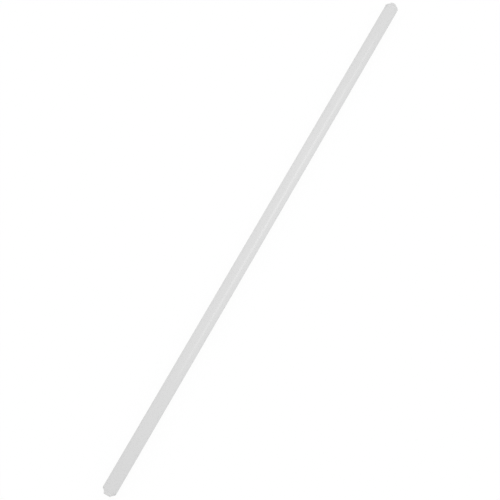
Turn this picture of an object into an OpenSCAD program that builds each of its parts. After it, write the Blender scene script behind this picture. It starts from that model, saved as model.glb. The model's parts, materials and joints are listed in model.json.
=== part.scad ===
// Glass stirring rod: one solid length of drawn glass rod, both ends bevelled and fire-polished.
//
// The rod lies along X, with its axis at Y = 0, Z = 0 and its middle at the origin, so +Z is up when it lies
// on a bench. The stirring end is at -X and the holding end at +X.
//
// Each end was dressed in two steps. First a bevel was ground on it by hand, as a cone that sits a little off
// the rod's axis and leans, so it cuts deeper on one side than on the other. What the wheel left is a short
// tapered tip, true to the rod, whose edge the flame has rounded. On the shallow side the bevel may run past the
// tip's wall, right up to the flat.

/* [Rod] */
// Length along the axis, from tip to tip
rod_len = 250; // [100:5:400]
// Diameter of the drawn rod
rod_d = 6; // [5.4:0.1:8]

/* [Bevels] */
// Length of the bevel, measured along its own axis from the wall to the end of the tip
bevel_len = 1.85; // [1.5:0.05:2]
// Slope of the bevel to its own axis, in degrees
bevel_angle = 48; // [40:1:50]

/* [Tips] */
// Diameter of the tip at its end, where its wall would meet the flat if its edge weren't rounded
tip_d = 3.1; // [2:0.1:3.4]
// Slope of the tip's wall to the rod's axis, in degrees
tip_angle = 18; // [5:1:30]
// Radius that the flame has given the edge of the tip
edge_r = 0.45; // [0.1:0.05:0.6]

/* [Stirring end, at -X] */
// How far the bevel sits off the rod's axis
stir_offset = 0.6; // [0:0.01:0.7]
// How far the bevel's axis leans, in degrees; its small end is the one that lies further off the rod's axis
stir_lean = 5; // [0:0.1:8]
// Which way it sits off and leans, in degrees from -Y towards -Z
stir_turn = 76; // [0:1:359]

/* [Holding end, at +X] */
// How far the bevel sits off the rod's axis
hold_offset = 0.25; // [0:0.01:0.7]
// How far the bevel's axis leans, in degrees; its small end is the one that lies further off the rod's axis
hold_lean = 0; // [0:0.1:8]
// Which way it sits off and leans, in degrees from -Y towards -Z
hold_turn = 0; // [0:1:359]

/* [Hidden] */
$fn = 96;

rod_r = rod_d / 2;
tip_r = tip_d / 2;

// How far the waste reaches past the wall and past its own point.
overcut = 1;

// The bevel's cone has the rod's radius at height 0 of its axis and comes to a point at this height.
bevel_point = rod_r / tan(bevel_angle);
// The height at which the cone has grown clear of the wall.
bevel_back = -overcut / tan(bevel_angle);

// Centre of the rounded edge, as [radius, height], with height 0 at the end of the tip. The edge's circle
// touches the flat and the tip's tapered wall.
edge_c = [tip_r - edge_r * tan((90 - tip_angle) / 2), -edge_r];
edge_touch = edge_c + edge_r * [cos(tip_angle), sin(tip_angle)];

// The tip's root is buried as deep as the bevel is long.
root_r = tip_r + bevel_len * tan(tip_angle);

// The glass that the wheel takes off round one end: all that lies outside the bevel's cone.
module bevel_waste() {
    waste_r = rod_r + overcut;
    waste_top = bevel_point + overcut;
    rotate_extrude()
        polygon([[0, bevel_point], [waste_r, bevel_back], [waste_r, waste_top], [0, waste_top]]);
}

// The waste at the +X end, set off the axis and leaning as told.
module placed_waste(off_axis, lean, turn) {
    rotate([turn, 0, 0])
        translate([rod_len / 2 - bevel_len, -off_axis, 0])
            rotate([0, 0, -lean])
                rotate([0, 90, 0])
                    bevel_waste();
}

// The tapered tip at the +X end, with its rounded edge and its root in the bevelled glass.
module placed_tip() {
    translate([rod_len / 2, 0, 0])
        rotate([0, 90, 0])
            rotate_extrude() {
                polygon([[0, -bevel_len], [root_r, -bevel_len], edge_touch, [edge_c.x, 0], [0, 0]]);
                translate(edge_c) circle(edge_r);
            }
}

module rod() {
    color("gainsboro") {
        difference() {
            rotate([0, 90, 0]) cylinder(d = rod_d, h = rod_len, center = true);
            placed_waste(hold_offset, hold_lean, hold_turn);
            mirror([1, 0, 0]) placed_waste(stir_offset, stir_lean, stir_turn);
        }
        placed_tip();
        mirror([1, 0, 0]) placed_tip();
    }
}

rod();
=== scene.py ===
"""A glass stirring rod, lying on a pale floor in plain soft studio light.

The rod is one length of drawn glass with both ends bevelled and fire-polished. It lies along X with its axis
at Y = 0, Z = 0 and its middle at the origin. The stirring end is at -X and the holding end at +X.
"""

import json
import logging
import math
from dataclasses import dataclass, field
from enum import Enum

import bpy
from mathutils import Matrix, Vector


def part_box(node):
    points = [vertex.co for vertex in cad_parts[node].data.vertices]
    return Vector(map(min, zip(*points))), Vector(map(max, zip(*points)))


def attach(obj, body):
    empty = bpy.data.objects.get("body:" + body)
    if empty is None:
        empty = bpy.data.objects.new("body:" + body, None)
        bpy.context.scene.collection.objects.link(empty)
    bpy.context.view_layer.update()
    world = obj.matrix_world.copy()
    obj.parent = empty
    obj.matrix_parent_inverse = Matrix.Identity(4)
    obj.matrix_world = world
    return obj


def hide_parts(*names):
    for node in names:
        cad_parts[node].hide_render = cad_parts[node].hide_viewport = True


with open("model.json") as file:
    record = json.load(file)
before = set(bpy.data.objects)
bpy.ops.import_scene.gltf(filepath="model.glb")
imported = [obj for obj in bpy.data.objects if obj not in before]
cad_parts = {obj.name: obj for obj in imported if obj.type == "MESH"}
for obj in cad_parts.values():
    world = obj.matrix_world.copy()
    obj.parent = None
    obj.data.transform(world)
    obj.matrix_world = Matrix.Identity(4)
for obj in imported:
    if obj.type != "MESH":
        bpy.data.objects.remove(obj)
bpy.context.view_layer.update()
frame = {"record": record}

LOG = logging.getLogger("stirring_rod")
# The rod's own sizes are in millimetres, and Blender's are in metres.
MM = 0.001


class End(Enum):
    """The rod's two ends, each with the sign of its X."""

    STIRRING = -1
    HOLDING = 1


class Light(Enum):
    """The kinds of light path that the materials tell apart."""

    CAMERA = "Is Camera Ray"
    GLOSSY = "Is Glossy Ray"
    TRANSMISSION = "Is Transmission Ray"
    SHADOW = "Is Shadow Ray"


def linear(hex_colour: str) -> tuple[float, float, float, float]:
    """Turns an sRGB hex colour into linear RGBA.

    Args:
        hex_colour: The colour as "#rrggbb".

    Returns:
        Red, green, blue and an alpha of 1.
    """
    channels = [int(hex_colour[i:i + 2], 16) / 255 for i in (1, 3, 5)]
    # The curve that the sRGB standard gives.
    red, green, blue = (c / 12.92 if c <= 0.04045 else ((c + 0.055) / 1.055) ** 2.4 for c in channels)
    return red, green, blue, 1.0


def smooth_min(a: float, b: float, width: float) -> float:
    """The smaller of two values, with the corner between them rounded over a width."""
    near = max(width - abs(a - b), 0.0) / width
    return min(a, b) - near * near * width / 4


def add_node(tree: bpy.types.NodeTree, kind: str, settings: dict | None = None,
             sockets: dict | None = None) -> bpy.types.Node:
    """Adds a node with its settings and links.

    Args:
        tree: The tree that the node joins.
        kind: Blender's name for the node type.
        settings: The node's own properties, by name.
        sockets: The inputs by name, each with a value, or with an output socket that is linked to it.

    Returns:
        The new node.
    """
    node = tree.nodes.new(kind)
    for name, value in (settings or {}).items():
        setattr(node, name, value)
    for name, value in (sockets or {}).items():
        socket = next(s for s in node.inputs if s.name == name and s.enabled and not s.is_linked)
        if isinstance(value, bpy.types.NodeSocket):
            tree.links.new(value, socket)
        else:
            socket.default_value = value
    return node


def shown(node: bpy.types.Node) -> bpy.types.NodeSocket:
    """The first output of the node that is in use."""
    return next(s for s in node.outputs if s.enabled)


def new_tree(owner: bpy.types.Material | bpy.types.World) -> bpy.types.NodeTree:
    """Gives a material or world an empty node tree.

    Args:
        owner: The material or world.

    Returns:
        Its tree, with no nodes.
    """
    owner.use_nodes = True
    owner.node_tree.nodes.clear()
    return owner.node_tree


def sees_white(tree: bpy.types.NodeTree) -> bpy.types.NodeSocket:
    """Adds nodes that say whether a ray shows the background: to the camera, in a gloss or through glass.

    Args:
        tree: The tree that gets the nodes.

    Returns:
        A socket that is 1 for such rays and 0 for the rest.
    """
    path = add_node(tree, "ShaderNodeLightPath")
    total = path.outputs[Light.CAMERA.value]
    for kind in (Light.GLOSSY, Light.TRANSMISSION):
        total = shown(add_node(tree, "ShaderNodeMath", {"operation": "MAXIMUM"}, {"Value": total}))
        tree.links.new(path.outputs[kind.value], total.node.inputs[1])
    return total


@dataclass(frozen=True)
class DrawnSodaLimeGlass:
    """Glass drawn hot into rod, taken as soda-lime, a common glass for such rods.

    The eye sees a clear glass that passes most light, faintly grey and with rims that are a little darker;
    that grey and those rims are painted shade in its tint. Its fine lines along the draw, and its patches
    that mirror less sharply, are assumed.
    """

    rod_length_mm: float
    name: str = "drawn soda-lime glass"
    # The grey that the glass gives a white ground, from the stirring end (0) to the holding end (1). It is
    # painted shade, in place of the shaded ground seen through the rod, and it is darker towards the stirring
    # end. It is matched to how the object looks, and what makes it differ along the rod isn't known.
    painted_shade_greys: tuple[tuple[float, str], ...] = (
        (0.0, "#d9d9d9"),
        (0.25, "#dfdfdf"),
        (0.65, "#e2e2e2"),
        (1.0, "#dedede"),
    )
    # The grey of the light that it lets through to its shadow.
    clear: str = "#e0e0e0"
    # Common window and rod glass.
    ior: float = 1.52
    # Clear skin, and the dullest of the patches in which it mirrors less sharply.
    roughness_clear: float = 0.0
    roughness_dull: float = 0.04
    # The patches are assumed, and hardly show from afar. Between these two values of the noise that places
    # them, the skin turns from clear to dull.
    patch_mm: float = 9.0
    dull_starts: float = 0.4
    dull_full: float = 0.7
    patch_detail: float = 3.0
    # Draw lines run far along and are fine across. None could be measured, so all of this is assumed. Their
    # spacing is about as fine as a picture of the whole rod can show, and they hardly show in it.
    draw_line_across_mm: float = 0.35
    draw_line_along_mm: float = 40.0
    draw_line_depth_mm: float = 0.0004
    draw_line_detail: float = 2.0
    # Painted shade darkens the rims, in place of the darker surroundings that glass bends into view there: by
    # this share of what the skin mirrors there, and at most by so much.
    painted_rim_shade: float = 0.95
    painted_rim_shade_most: float = 0.13
    # The mesh says how much painted shade or painted light each point gets, and a painted shading of 1 takes
    # this share of the light.
    painted_shading_attribute: str = "painted_shading"
    painted_shading_darkening: float = 0.2

    def build(self) -> bpy.types.Material:
        """Makes the material.

        Returns:
            The glass, which shows as itself and casts the light shadow of a clear body.
        """
        material = bpy.data.materials.new(self.name)
        tree = new_tree(material)
        place = add_node(tree, "ShaderNodeTexCoord").outputs["Object"]
        tint = self.tint(tree, place)
        glass = add_node(tree, "ShaderNodeBsdfPrincipled", {}, {
            "Base Color": tint,
            "Roughness": self.dull_patches(tree, place),
            "IOR": self.ior,
            "Transmission Weight": 1.0,
            "Normal": self.draw_lines(tree, place),
        })
        path = add_node(tree, "ShaderNodeLightPath")
        shade = add_node(tree, "ShaderNodeBsdfTransparent", {}, {"Color": linear(self.clear)})
        either = add_node(tree, "ShaderNodeMixShader", {}, {"Fac": path.outputs[Light.SHADOW.value]})
        tree.links.new(shown(glass), either.inputs[1])
        tree.links.new(shown(shade), either.inputs[2])
        add_node(tree, "ShaderNodeOutputMaterial", {}, {"Surface": shown(either)})
        return material

    def tint(self, tree: bpy.types.NodeTree, place: bpy.types.NodeSocket) -> bpy.types.NodeSocket:
        """Adds the glass's painted shade: greyest at the stirring end, darker at the rims, and changed by the
        painted shading.

        Args:
            tree: The material's tree.
            place: The socket with the place on the rod, in metres.

        Returns:
            The colour's socket.
        """
        along = add_node(tree, "ShaderNodeSeparateXYZ", {}, {"Vector": place}).outputs["X"]
        half_length = self.rod_length_mm / 2 * MM
        progress = add_node(tree, "ShaderNodeMapRange", {}, {
            "Value": along,
            "From Min": -half_length,
            "From Max": half_length,
        })
        # Painted shade along the rod, which stands in for the shaded ground seen through it.
        body = add_node(tree, "ShaderNodeValToRGB", {}, {"Fac": shown(progress)})
        stops = body.color_ramp.elements
        for where, _ in self.painted_shade_greys[1:-1]:
            stops.new(where)
        for stop, (where, grey) in zip(stops, self.painted_shade_greys):
            stop.position, stop.color = where, linear(grey)
        # Painted shade at the rims, which grows with what the skin mirrors, in place of darker surroundings
        # seen there.
        mirrored = add_node(tree, "ShaderNodeFresnel", {}, {"IOR": self.ior})
        share = add_node(tree, "ShaderNodeMapRange", {}, {
            "Value": shown(mirrored),
            "From Max": self.painted_rim_shade_most / self.painted_rim_shade,
            "To Max": self.painted_rim_shade_most,
        })
        clear = add_node(tree, "ShaderNodeMix", {"data_type": "RGBA"}, {
            "Factor": shown(share),
            "A": shown(body),
            "B": linear("#000000"),
        })
        # Painted shade and painted light from the mesh's painted shading, as a change of the tint.
        painted_shading = add_node(tree, "ShaderNodeAttribute", {"attribute_name": self.painted_shading_attribute})
        kept = add_node(tree, "ShaderNodeMapRange", {"clamp": False}, {
            "Value": painted_shading.outputs["Fac"],
            "To Min": 1.0,
            "To Max": 1 - self.painted_shading_darkening,
        })
        return shown(add_node(tree, "ShaderNodeVectorMath", {"operation": "SCALE"}, {
            "Vector": shown(clear),
            "Scale": shown(kept),
        }))

    def dull_patches(self, tree: bpy.types.NodeTree, place: bpy.types.NodeSocket) -> bpy.types.NodeSocket:
        """Adds the patches that mirror less sharply, as a change of roughness.

        Args:
            tree: The material's tree.
            place: The socket with the place on the rod, in metres.

        Returns:
            The roughness's socket.
        """
        patches = add_node(tree, "ShaderNodeTexNoise", {}, {
            "Vector": place,
            "Scale": 1 / (self.patch_mm * MM),
            "Detail": self.patch_detail,
        })
        return shown(add_node(tree, "ShaderNodeMapRange", {}, {
            "Value": shown(patches),
            "From Min": self.dull_starts,
            "From Max": self.dull_full,
            "To Min": self.roughness_clear,
            "To Max": self.roughness_dull,
        }))

    def draw_lines(self, tree: bpy.types.NodeTree, place: bpy.types.NodeSocket) -> bpy.types.NodeSocket:
        """Adds fine lines along the rod, such as drawing leaves, as a bump.

        Args:
            tree: The material's tree.
            place: The socket with the place on the rod, in metres.

        Returns:
            The normal's socket.
        """
        across = 1 / (self.draw_line_across_mm * MM)
        stretched = add_node(tree, "ShaderNodeMapping", {}, {
            "Vector": place,
            "Scale": (1 / (self.draw_line_along_mm * MM), across, across),
        })
        lines = add_node(tree, "ShaderNodeTexNoise", {}, {
            "Vector": shown(stretched),
            "Scale": 1.0,
            "Detail": self.draw_line_detail,
        })
        return shown(add_node(tree, "ShaderNodeBump", {}, {
            "Strength": 1.0,
            "Distance": self.draw_line_depth_mm * MM,
            "Height": shown(lines),
        }))


@dataclass(frozen=True)
class MattePaper:
    """The pale ground, taken as uncoated white paper, which gives the eye an even white with no gloss."""

    name: str = "matte backing paper"
    white: str = "#f7f7f7"
    # The share of the background's white that doesn't depend on the lamps, so that a faint shadow is left.
    glow: float = 0.95

    def build(self) -> bpy.types.Material:
        """Makes the material.

        Returns:
            The paper, which is lit by the lamps and looks white to the camera, in a gloss and through glass.
        """
        material = bpy.data.materials.new(self.name)
        tree = new_tree(material)
        path = add_node(tree, "ShaderNodeLightPath")
        paper = add_node(tree, "ShaderNodeBsdfDiffuse", {}, {"Color": linear(self.white)})
        white = add_node(tree, "ShaderNodeEmission", {}, {"Color": linear("#ffffff"), "Strength": 1.0})
        part = add_node(tree, "ShaderNodeMath", {"operation": "MULTIPLY"}, {"Value": sees_white(tree)})
        part.inputs[1].default_value = self.glow
        share = add_node(tree, "ShaderNodeMath", {"operation": "MAXIMUM"}, {"Value": shown(part)})
        tree.links.new(path.outputs[Light.TRANSMISSION.value], share.inputs[1])
        both = add_node(tree, "ShaderNodeMixShader", {}, {"Fac": shown(share)})
        tree.links.new(shown(paper), both.inputs[1])
        tree.links.new(shown(white), both.inputs[2])
        add_node(tree, "ShaderNodeOutputMaterial", {}, {"Surface": shown(both)})
        return material


@dataclass(frozen=True)
class SurfacePoint:
    """A point on the rod's skin.

    Attributes:
        place: Where it is.
        facing: The unit vector that points straight out of the skin there.
        painted_shading: The painted shading there, where 0 is the plain wall's, more is painted shade and
            less is painted light.
    """

    place: Vector
    facing: Vector
    painted_shading: float = 0.0


@dataclass(frozen=True)
class BevelPlace:
    """How the bevel of one end sits on the rod.

    Attributes:
        offset: How far its axis is off the rod's axis where the bevel starts, in millimetres.
        lean: How much further off it goes on its way out, in degrees.
        turn: Which way, in degrees from -Y towards -Z.
    """

    offset: float
    lean: float
    turn: float


@dataclass(frozen=True)
class FlamePolish:
    """How soft the lines of one end are, and the shade and light that are painted on its glass.

    Painted shading is a tint: painted shade and painted light, which stand in for the darker and paler lines
    that refraction shows at the ends. Just what makes those lines isn't known. A painted shading of 0 is the
    plain wall's, more is darker, and less is paler.

    Attributes:
        melt: How far the line at which the wall and the bevel meet is rounded, in millimetres.
        fill: How far the groove in which the bevel and the tip meet is filled, in millimetres.
        groove_painted_shading: The painted shading in that groove.
        tip_painted_shading: The painted shading of the tip's wall.
        edge_painted_shading: The painted shading round the flat's rim, from where it fades over the rounded
            edge to the tip's own.
    """

    melt: float
    fill: float
    groove_painted_shading: float
    tip_painted_shading: float
    edge_painted_shading: float


@dataclass(frozen=True)
class DressedEnd:
    """One bevelled and fire-polished end, in millimetres.

    The bevel is a cone that sits a little off the rod's axis. The tip is a short taper, true to the rod. A
    place on the skin is given by its azimuth, from +Y towards +Z, and by its depth behind the end of the tip.
    """

    end: End
    bevel: BevelPlace
    polish: FlamePolish
    rod_radius: float
    rod_length: float
    bevel_length: float = 1.85
    bevel_angle: float = 48.0
    tip_diameter: float = 3.1
    tip_angle: float = 18.0
    edge_radius: float = 0.45
    # How far out to each side the groove's painted shading reaches.
    groove_reach: float = 0.15
    # Where the bevel runs up to the flat, the skin leaves the flat's rim this steeply, as radius over depth,
    # and its lines are rounded over this width.
    lip_slope: float = 6.0
    lip_melt: float = 0.2
    # How the mesh is cut: rings on the flat and on the rounded edge, the spacing of the rest, and how many
    # lengths of the bevel they reach back, so that they cover its deepest side.
    flat_steps: int = 3
    edge_steps: int = 8
    ring_spacing: float = 0.05
    ring_reach: float = 1.35

    @property
    def edge_centre(self) -> Vector:
        """Centre of the tip's rounded edge, as (radius, depth)."""
        half_turn = math.radians(90 - self.tip_angle) / 2
        return Vector((self.tip_diameter / 2 - self.edge_radius * math.tan(half_turn), self.edge_radius))

    @property
    def edge_touch(self) -> Vector:
        """Where the rounded edge runs into the tip's wall, as (radius, depth)."""
        slope = math.radians(self.tip_angle)
        return self.edge_centre + self.edge_radius * Vector((math.cos(slope), -math.sin(slope)))

    @property
    def depths(self) -> list[float]:
        """Spaces the rings.

        Returns:
            Their depths, from the edge of the flat to the plain wall.
        """
        whole = math.radians(90 - self.tip_angle)
        turns = [whole * step / self.edge_steps for step in range(self.edge_steps)]
        edge = [self.edge_radius * (1 - math.cos(turn)) for turn in turns]
        start, stop = self.edge_touch.y, self.bevel_length * self.ring_reach
        steps = round((stop - start) / self.ring_spacing)
        return edge + [start + (stop - start) * step / steps for step in range(steps + 1)]

    def tip_radius(self, depth: float) -> float:
        """Finds where the tip's wall and rounded edge lie.

        Args:
            depth: The depth behind the end of the tip.

        Returns:
            Their distance from the rod's axis.
        """
        if depth > self.edge_touch.y:
            return self.tip_diameter / 2 + depth * math.tan(math.radians(self.tip_angle))
        return self.edge_centre.x + math.sqrt(self.edge_radius ** 2 - (self.edge_radius - depth) ** 2)

    def bevel_radius(self, azimuth: float, depth: float) -> float:
        """Finds where the bevel's cone lies.

        Args:
            azimuth: The direction from the rod's axis, in radians.
            depth: The depth behind the end of the tip.

        Returns:
            The cone's distance from the rod's axis.
        """
        lean, slope = math.radians(self.bevel.lean), math.radians(self.bevel_angle)
        turned = azimuth - math.radians(self.bevel.turn)
        inwards = Vector((-math.cos(lean), math.sin(lean), 0))
        base = Vector((-self.bevel_length, -self.bevel.offset, 0))
        point = base - inwards * (self.rod_radius / math.tan(slope))
        across = Vector((0, math.cos(turned), math.sin(turned)))
        start = Vector((-depth, 0, 0)) - point
        # A quadratic in the distance, which says that the angle to the cone's axis is the slope.
        share = math.cos(slope) ** 2
        a = across.dot(inwards) ** 2 - share
        b = start.dot(inwards) * across.dot(inwards) - share * start.dot(across)
        c = start.dot(inwards) ** 2 - share * start.dot(start)
        return (-b - math.sqrt(b * b - a * c)) / a

    def radius(self, azimuth: float, depth: float) -> float:
        """Finds where the skin lies, with its rounded lines.

        Args:
            azimuth: The direction from the rod's axis, in radians.
            depth: The depth behind the end of the tip.

        Returns:
            The skin's distance from the rod's axis.
        """
        lip = self.edge_centre.x + depth * self.lip_slope
        ground = smooth_min(self.rod_radius, self.bevel_radius(azimuth, depth), self.polish.melt)
        ground = smooth_min(ground, lip, self.lip_melt)
        tip = self.tip_radius(depth)
        # The groove is filled less near the flat, and never as far as the plain wall, but always a little.
        filled = max(min(self.polish.fill, depth, self.rod_radius - tip), self.lip_melt)
        return -smooth_min(-ground, -tip, filled)

    def skin(self, azimuth: float, depth: float, nudge: float = 1e-3) -> SurfacePoint:
        """Finds a point of the skin and how it faces.

        Args:
            azimuth: The direction from the rod's axis, in radians.
            depth: The depth behind the end of the tip.
            nudge: The small step by which slopes are measured.

        Returns:
            The point, on the +X or -X end as the end has it.
        """
        radius = self.radius(azimuth, depth)
        outer, inner = max(depth - nudge, 0.0), depth + nudge
        rise = (self.radius(azimuth, inner) - self.radius(azimuth, outer)) / (inner - outer)
        ahead, behind = self.radius(azimuth + nudge, depth), self.radius(azimuth - nudge, depth)
        swing = (ahead - behind) / (2 * nudge * radius)
        away = Vector((0, math.cos(azimuth), math.sin(azimuth)))
        around = Vector((0, -math.sin(azimuth), math.cos(azimuth)))
        place = Vector((self.rod_length / 2 - depth, 0, 0)) + away * radius
        facing = Vector((rise, 0, 0)) + away - around * swing
        return SurfacePoint(self.sided(place), self.sided(facing.normalized()), self.painted_shading(azimuth, depth))

    def painted_shading(self, azimuth: float, depth: float) -> float:
        """Finds the painted shading of the skin: painted shade above 0 and painted light below.

        Args:
            azimuth: The direction from the rod's axis, in radians.
            depth: The depth behind the end of the tip.

        Returns:
            The haze, where 0 is the plain wall's.
        """
        outside = (self.bevel_radius(azimuth, depth) - self.tip_radius(depth)) / self.groove_reach
        own = 0.0
        if outside < 0:
            edge = max(1 - depth / self.edge_touch.y, 0.0)
            own = self.polish.tip_painted_shading + (self.polish.edge_painted_shading - self.polish.tip_painted_shading) * edge
        return own + (self.polish.groove_painted_shading - own) * max(1 - outside * outside, 0.0)

    def sided(self, vector: Vector) -> Vector:
        """Turns a vector of the +X end into this end's own."""
        return Vector((vector.x * self.end.value, vector.y, vector.z))

    def column(self, azimuth: float) -> list[SurfacePoint]:
        """Follows the skin from the plain wall over the bevel and the tip to its flat.

        Args:
            azimuth: The direction from the rod's axis, in radians.

        Returns:
            The points, in millimetres.
        """
        points = [self.skin(azimuth, depth) for depth in reversed(self.depths)]
        rim = points[-1].place
        for step in range(1, self.flat_steps):
            share = 1 - step / self.flat_steps
            place = Vector((rim.x, rim.y * share, rim.z * share))
            points.append(SurfacePoint(place, self.sided(Vector((1, 0, 0))), self.polish.tip_painted_shading))
        return points


@dataclass
class StirringRod:
    """The whole rod: one solid length of glass, in millimetres."""

    length: float
    radius: float
    stirring_bevel: BevelPlace = BevelPlace(offset=0.6, lean=5.0, turn=76.0)
    stirring_polish: FlamePolish = FlamePolish(
        melt=0.35, fill=0.1, groove_painted_shading=1.0, tip_painted_shading=-0.5, edge_painted_shading=1.5)
    holding_bevel: BevelPlace = BevelPlace(offset=0.25, lean=0.0, turn=0.0)
    holding_polish: FlamePolish = FlamePolish(
        melt=0.05, fill=0.6, groove_painted_shading=-0.6, tip_painted_shading=0.6, edge_painted_shading=1.2)
    # How the mesh is cut: sides round the rod, and spaces along its plain wall.
    sides: int = 160
    wall_rings: int = 100
    glass: DrawnSodaLimeGlass = field(init=False)

    def __post_init__(self) -> None:
        """Chooses the glass, whose tint runs over the rod's length."""
        self.glass = DrawnSodaLimeGlass(self.length)

    def ends(self) -> tuple[DressedEnd, DressedEnd]:
        """Places the two ends on the rod.

        Returns:
            The stirring end and the holding end.
        """
        return (
            DressedEnd(End.STIRRING, self.stirring_bevel, self.stirring_polish, self.radius, self.length),
            DressedEnd(End.HOLDING, self.holding_bevel, self.holding_polish, self.radius, self.length),
        )

    def column(self, azimuth: float) -> list[SurfacePoint]:
        """Follows the skin from the stirring tip to the holding tip.

        Args:
            azimuth: The direction from the rod's axis, in radians from +Y towards +Z.

        Returns:
            The points, in millimetres.
        """
        stirring, holding = (end.column(azimuth) for end in self.ends())
        first, last = stirring[0], holding[0]
        wall = [SurfacePoint(first.place.lerp(last.place, ring / self.wall_rings), first.facing)
                for ring in range(1, self.wall_rings)]
        return stirring[::-1] + wall + holding

    def mesh(self) -> bpy.types.Mesh:
        """Turns the columns into a closed mesh.

        Returns:
            The mesh, in metres, with the skin's own normals and its painted shading at each point.
        """
        columns = [self.column(2 * math.pi * side / self.sides) for side in range(self.sides)]
        rings = len(columns[0])
        points = [point for column in columns for point in column]
        # The last two points are the middles of the two flats.
        middles = (len(points), len(points) + 1)
        for end in self.ends():
            middle, facing = end.sided(Vector((self.length / 2, 0, 0))), end.sided(Vector((1, 0, 0)))
            points.append(SurfacePoint(middle, facing, end.polish.tip_painted_shading))
        faces = []
        for side in range(self.sides):
            here, there = side * rings, (side + 1) % self.sides * rings
            faces += [(here + ring, there + ring, there + ring + 1, here + ring + 1)
                      for ring in range(rings - 1)]
            faces.append((middles[0], there, here))
            faces.append((middles[1], here + rings - 1, there + rings - 1))
        mesh = bpy.data.meshes.new("glass_rod")
        mesh.from_pydata([point.place * MM for point in points], [], faces)
        mesh.shade_smooth()
        mesh.normals_split_custom_set_from_vertices([point.facing for point in points])
        painted_shading = mesh.attributes.new(self.glass.painted_shading_attribute, "FLOAT", "POINT")
        painted_shading.data.foreach_set("value", [point.painted_shading for point in points])
        mesh.validate()
        return mesh

    def build(self) -> bpy.types.Object:
        """Makes the rod, dresses it and lets it stand for its CAD node.

        Returns:
            The rod.
        """
        rod = bpy.data.objects.new("glass_rod", self.mesh())
        bpy.context.scene.collection.objects.link(rod)
        rod.data.materials.append(self.glass.build())
        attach(rod, "root")
        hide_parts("rod")
        return rod


@dataclass(frozen=True)
class SoftLamp:
    """A soft box with an oval front.

    Attributes:
        name: What it is called.
        aim: The point that it faces, in metres.
        towards: The direction in which it stands from there.
        distance: How far away it stands, in metres.
        width: Its size along the rod, in metres.
        height: Its size across the rod, in metres.
        radiance: How bright the middle of its front looks, where 1 is white.
        spread: The angle that its light keeps to, in degrees. It makes the front darker towards its edge.
    """

    name: str
    aim: Vector
    towards: Vector
    distance: float
    width: float
    height: float
    radiance: float
    spread: float

    def build(self) -> bpy.types.Object:
        """Makes the lamp.

        Returns:
            The lamp, which glass mirrors but doesn't show through itself.
        """
        lamp = bpy.data.lights.new(self.name, "AREA")
        lamp.shape = "ELLIPSE"
        lamp.size, lamp.size_y = self.width, self.height
        half_spread = math.radians(self.spread) / 2
        lamp.spread = 2 * half_spread
        area = math.pi / 4 * self.width * self.height
        lamp.energy = self.radiance * math.pi * area * (1 - half_spread / math.tan(half_spread))
        placed = bpy.data.objects.new(self.name, lamp)
        bpy.context.scene.collection.objects.link(placed)
        back = self.towards.normalized()
        side = (Vector((1, 0, 0)) - back * back.x).normalized()
        turned = Matrix((side, back.cross(side), back)).transposed().to_4x4()
        placed.matrix_world = Matrix.Translation(self.aim + back * self.distance) @ turned
        placed.visible_transmission = False
        return placed


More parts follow.
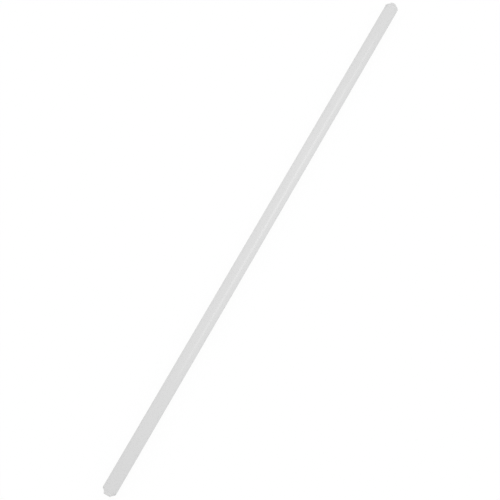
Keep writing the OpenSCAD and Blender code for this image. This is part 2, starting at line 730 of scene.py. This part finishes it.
@dataclass
class Studio:
    """The floor, the key light, the world's fill light and the camera, in metres and degrees."""

    floor_z: float
    floor_radius: float = 3.0
    floor_sides: int = 64
    paper: MattePaper = field(default_factory=MattePaper)
    # How brightly the fill light lights what isn't glass, where 1 is white.
    fill: float = 1.06
    # The key light stands over the rod's -Y side, as soft boxes that are turned round the rod by key_turns.
    key_aim: Vector = field(default_factory=lambda: Vector((0.01, 0.0, 0.0)))
    key_towards: Vector = field(default_factory=lambda: Vector((0.362, -0.523, 0.775)))
    key_turns: tuple[int, ...] = (-8, 0, 8)
    key_distance: float = 0.55
    key_width: float = 0.36
    key_height: float = 0.42
    key_radiance: float = 0.62
    key_spread: float = 40.0
    # Rays that run along inside the rod turn back many times before they get out.
    bounces: int = 1024
    # The camera looks down on the rod from beside its stirring end. Its lens and sensor are in millimetres.
    camera_aim: Vector = field(default_factory=lambda: Vector((-0.0104, 0.00005, 0.0)))
    camera_distance: float = 0.4753
    camera_elevation: float = 68.69
    camera_heading: float = 28.57
    camera_clip_start: float = 0.01
    lens: float = 82.62
    sensor: float = 36.0

    def build(self) -> None:
        """Makes everything that isn't part of the rod."""
        self.build_world()
        self.build_floor()
        for lamp in self.lamps():
            lamp.build()
        self.build_camera()
        scene = bpy.context.scene
        scene.view_settings.view_transform = "Standard"
        cycles = scene.cycles
        cycles.max_bounces = cycles.transmission_bounces = cycles.glossy_bounces = self.bounces

    def lamps(self) -> list[SoftLamp]:
        """Lays out the key light.

        Returns:
            Soft boxes in a row across the rod, whose reflections join to one soft streak.
        """
        middle = self.key_towards.normalized()
        across = middle.cross(Vector((1, 0, 0))).normalized()
        return [
            SoftLamp(
                name=f"key {turn:+d}",
                aim=self.key_aim,
                towards=middle * math.cos(math.radians(turn)) + across * math.sin(math.radians(turn)),
                distance=self.key_distance,
                width=self.key_width,
                height=self.key_height,
                radiance=self.key_radiance,
                spread=self.key_spread,
            )
            for turn in self.key_turns
        ]

    def build_world(self) -> None:
        """Makes the fill light, which is white wherever it is seen."""
        world = bpy.data.worlds.new("studio")
        tree = new_tree(world)
        strength = add_node(tree, "ShaderNodeMapRange", {}, {
            "Value": sees_white(tree),
            "To Min": self.fill,
            "To Max": 1.0,
        })
        sky = add_node(tree, "ShaderNodeBackground", {}, {
            "Color": linear("#ffffff"),
            "Strength": shown(strength),
        })
        add_node(tree, "ShaderNodeOutputWorld", {}, {"Surface": shown(sky)})
        bpy.context.scene.world = world

    def build_floor(self) -> bpy.types.Object:
        """Makes the floor.

        Returns:
            A large disc that the rod lies on.
        """
        turns = [2 * math.pi * side / self.floor_sides for side in range(self.floor_sides)]
        rim = [(self.floor_radius * math.cos(turn), self.floor_radius * math.sin(turn), self.floor_z)
               for turn in turns]
        mesh = bpy.data.meshes.new("floor")
        mesh.from_pydata(rim, [], [tuple(range(self.floor_sides))])
        floor = bpy.data.objects.new("floor", mesh)
        bpy.context.scene.collection.objects.link(floor)
        mesh.materials.append(self.paper.build())
        return floor

    def build_camera(self) -> bpy.types.Object:
        """Makes the camera and puts it in use.

        Returns:
            The camera.
        """
        camera = bpy.data.cameras.new("camera")
        camera.lens, camera.sensor_width = self.lens, self.sensor
        camera.clip_start = self.camera_clip_start
        up, round_z = math.radians(self.camera_elevation), math.radians(self.camera_heading)
        level = math.cos(up)
        forward = Vector((level * math.cos(round_z), level * math.sin(round_z), -math.sin(up)))
        placed = bpy.data.objects.new("camera", camera)
        bpy.context.scene.collection.objects.link(placed)
        placed.location = self.camera_aim - forward * self.camera_distance
        placed.rotation_mode = "QUATERNION"
        placed.rotation_quaternion = forward.to_track_quat("-Z", "Y")
        bpy.context.scene.camera = placed
        return placed


def main() -> None:
    """Builds the rod and the studio."""
    logging.basicConfig(level=logging.INFO, format="%(message)s")
    shank = next(m for m in frame["record"]["mounts"] if m["name"] == "shank")
    low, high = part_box("rod")
    rod = StirringRod(length=(high.x - low.x) / MM, radius=shank["dims"]["r_mm"]).build()
    LOG.info("%s: %d faces", rod.name, len(rod.data.polygons))
    Studio(floor_z=low.z).build()
    LOG.info("studio: ready")


if __name__ == "__main__":
    main()
